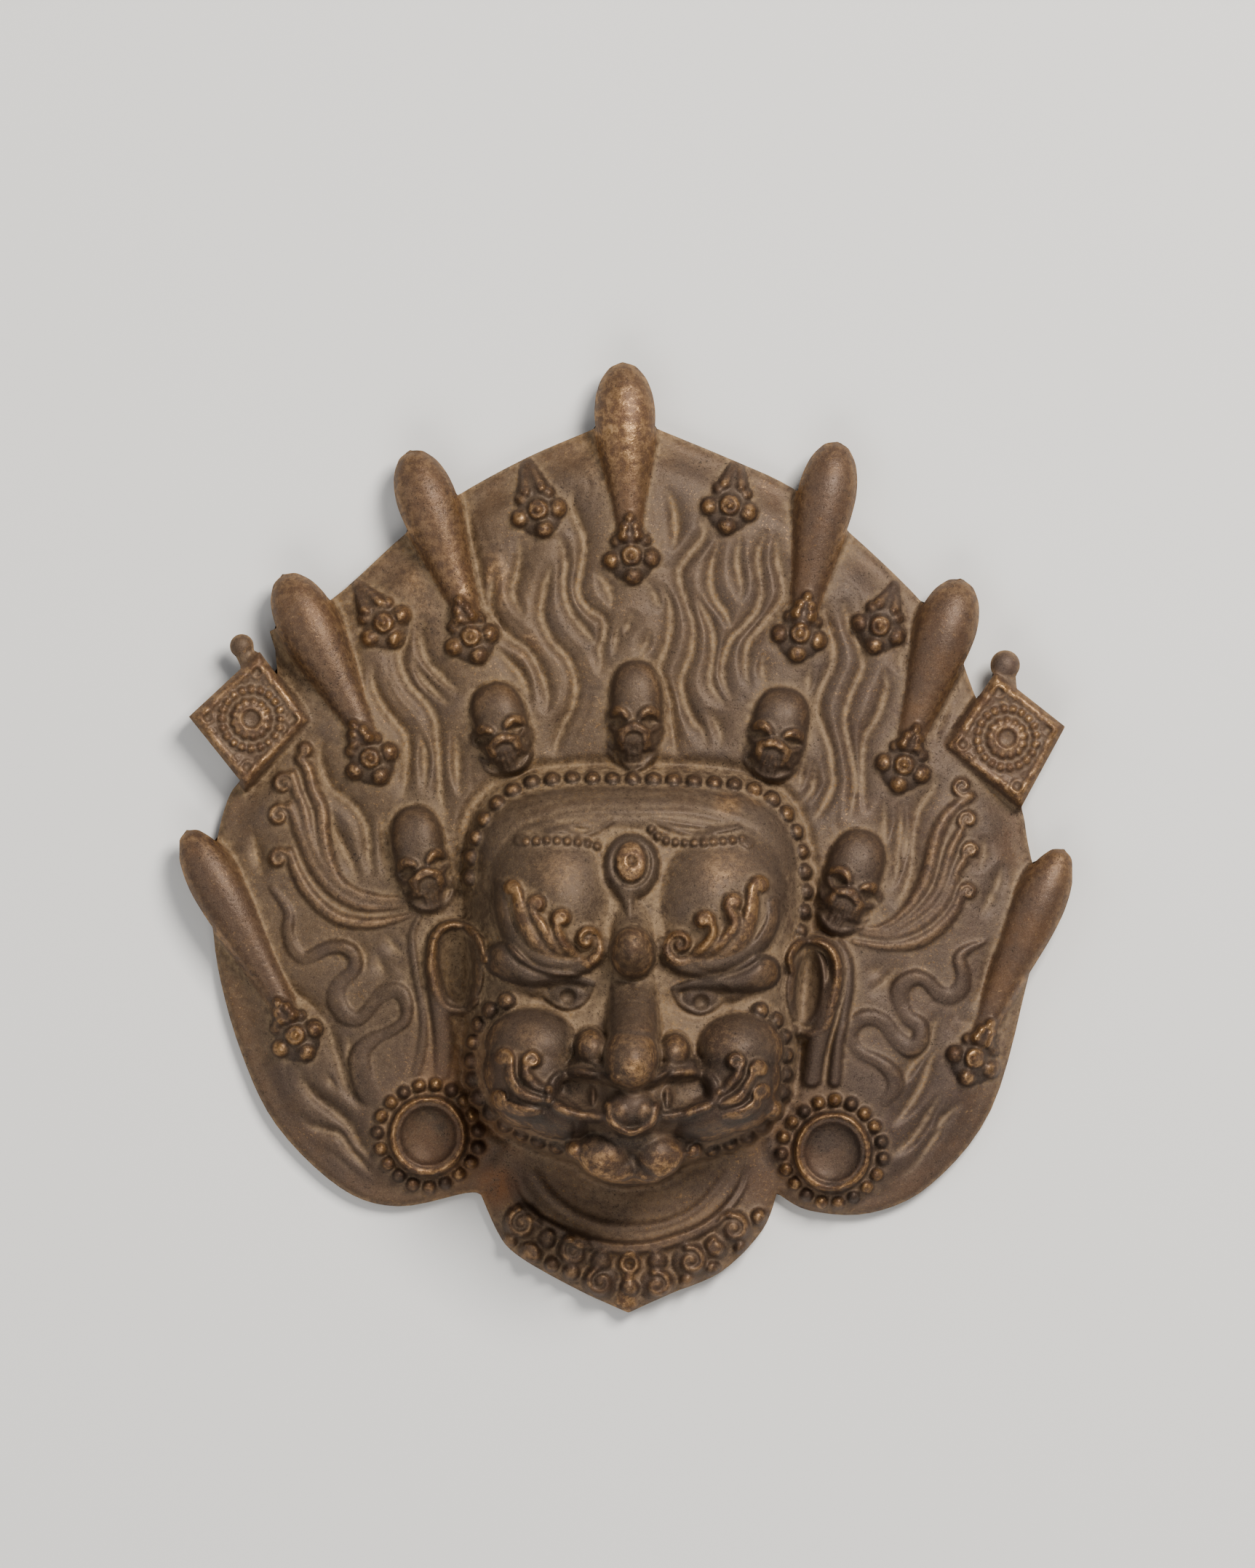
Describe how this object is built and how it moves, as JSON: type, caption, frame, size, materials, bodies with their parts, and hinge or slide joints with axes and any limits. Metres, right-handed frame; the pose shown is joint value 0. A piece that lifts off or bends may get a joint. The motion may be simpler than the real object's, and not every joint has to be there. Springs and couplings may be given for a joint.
{
  "type": "mahakala mask",
  "caption": "Cast bronze mask of a wrathful guardian with a third eye and fangs, skull crown, flame hair, clubs round the edge, ear discs and a pointed scrolled collar, hollow behind.",
  "frame": {"origin": "centre of the bounding box on the flat rim of the back", "axes": "+Z out of the face, +Y towards the tip of the crown, +X to the right as the face is looked at"},
  "size_m": [0.188, 0.2002, 0.0548],
  "materials": {
    "bronze": "patinated cast bronze with dusty hollows and worn high places"
  },
  "bodies": {
    "root": {"mask": "bronze"}
  },
  "joints": []
}
